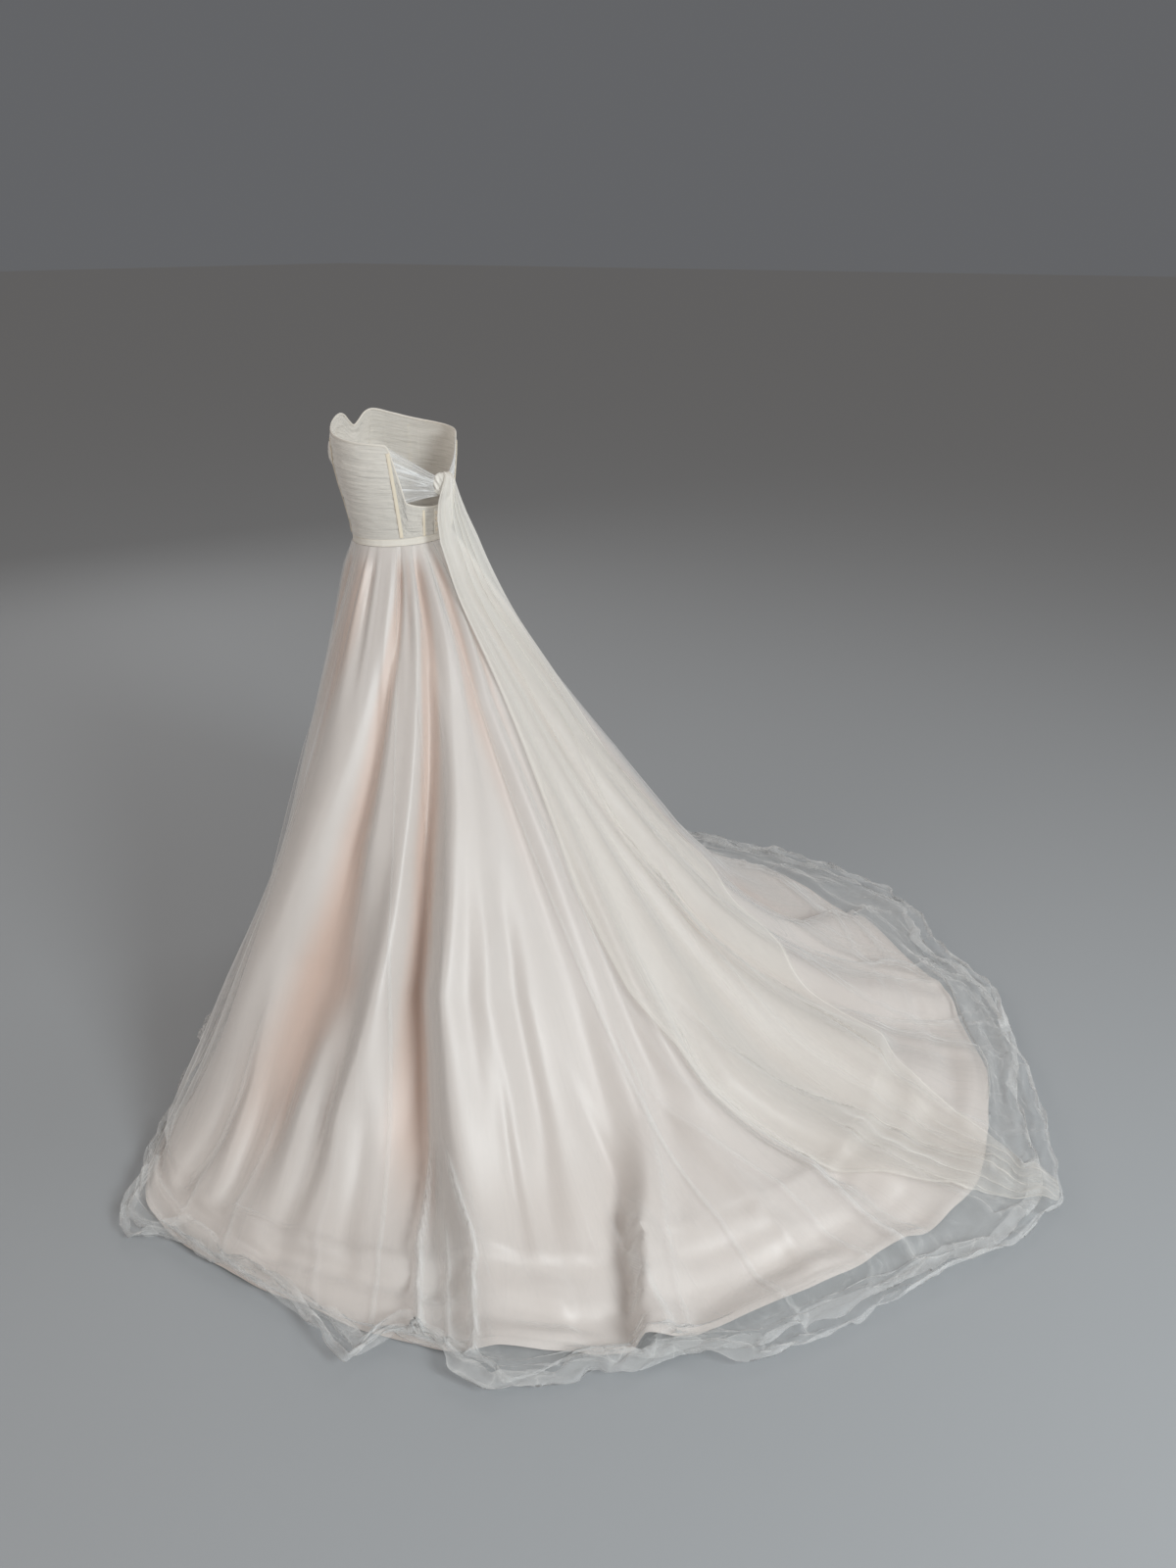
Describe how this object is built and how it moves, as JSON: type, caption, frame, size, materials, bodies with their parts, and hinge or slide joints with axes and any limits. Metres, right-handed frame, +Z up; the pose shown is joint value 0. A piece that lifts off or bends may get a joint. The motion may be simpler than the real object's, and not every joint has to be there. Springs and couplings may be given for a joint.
{
  "type": "wedding dress",
  "caption": "Strapless A-line gown with a low back, a sash that ties behind, and a gathered satin skirt under sheer tulle that spreads into a train.",
  "frame": {"origin": "centre of the waist opening, where the gown is held up", "axes": "+Z up through the waist, -Y the wearer's front, +X the wearer's left; the floor is at z = -1.10"},
  "size_m": [1.9945, 2.019, 1.3433],
  "materials": {
    "satin": "blush satin, soft sheen",
    "tulle": "sheer ivory tulle, matte",
    "mesh": "ruched ivory mesh over lining",
    "trim": "cream binding and boning tape",
    "button": "cloth-covered buttons"
  },
  "bodies": {
    "root": {"back_placket": "trim", "bodice_back_left": "mesh", "bodice_back_right": "mesh", "bodice_front": "mesh", "bodice_front_side_left": "mesh", "bodice_front_side_right": "mesh", "bodice_side_left": "mesh", "bodice_side_right": "mesh", "boning_back_left": "trim", "boning_back_right": "trim", "boning_front_left": "trim", "boning_front_right": "trim", "boning_side_back_left": "trim", "boning_side_back_right": "trim", "boning_underarm_left": "trim", "boning_underarm_right": "trim", "button_1": "button", "button_2": "button", "button_3": "button", "button_4": "button", "sash_band_left": "tulle", "sash_band_right": "tulle", "sash_knot": "tulle", "sash_tail": "tulle", "satin_back_left": "satin", "satin_back_right": "satin", "satin_front": "satin", "satin_side_left": "satin", "satin_side_right": "satin", "top_binding": "trim", "tulle_back_left": "tulle", "tulle_back_middle": "tulle", "tulle_back_right": "tulle", "tulle_front": "tulle", "tulle_side_left": "tulle", "tulle_side_right": "tulle", "waistband": "trim"}
  },
  "joints": []
}
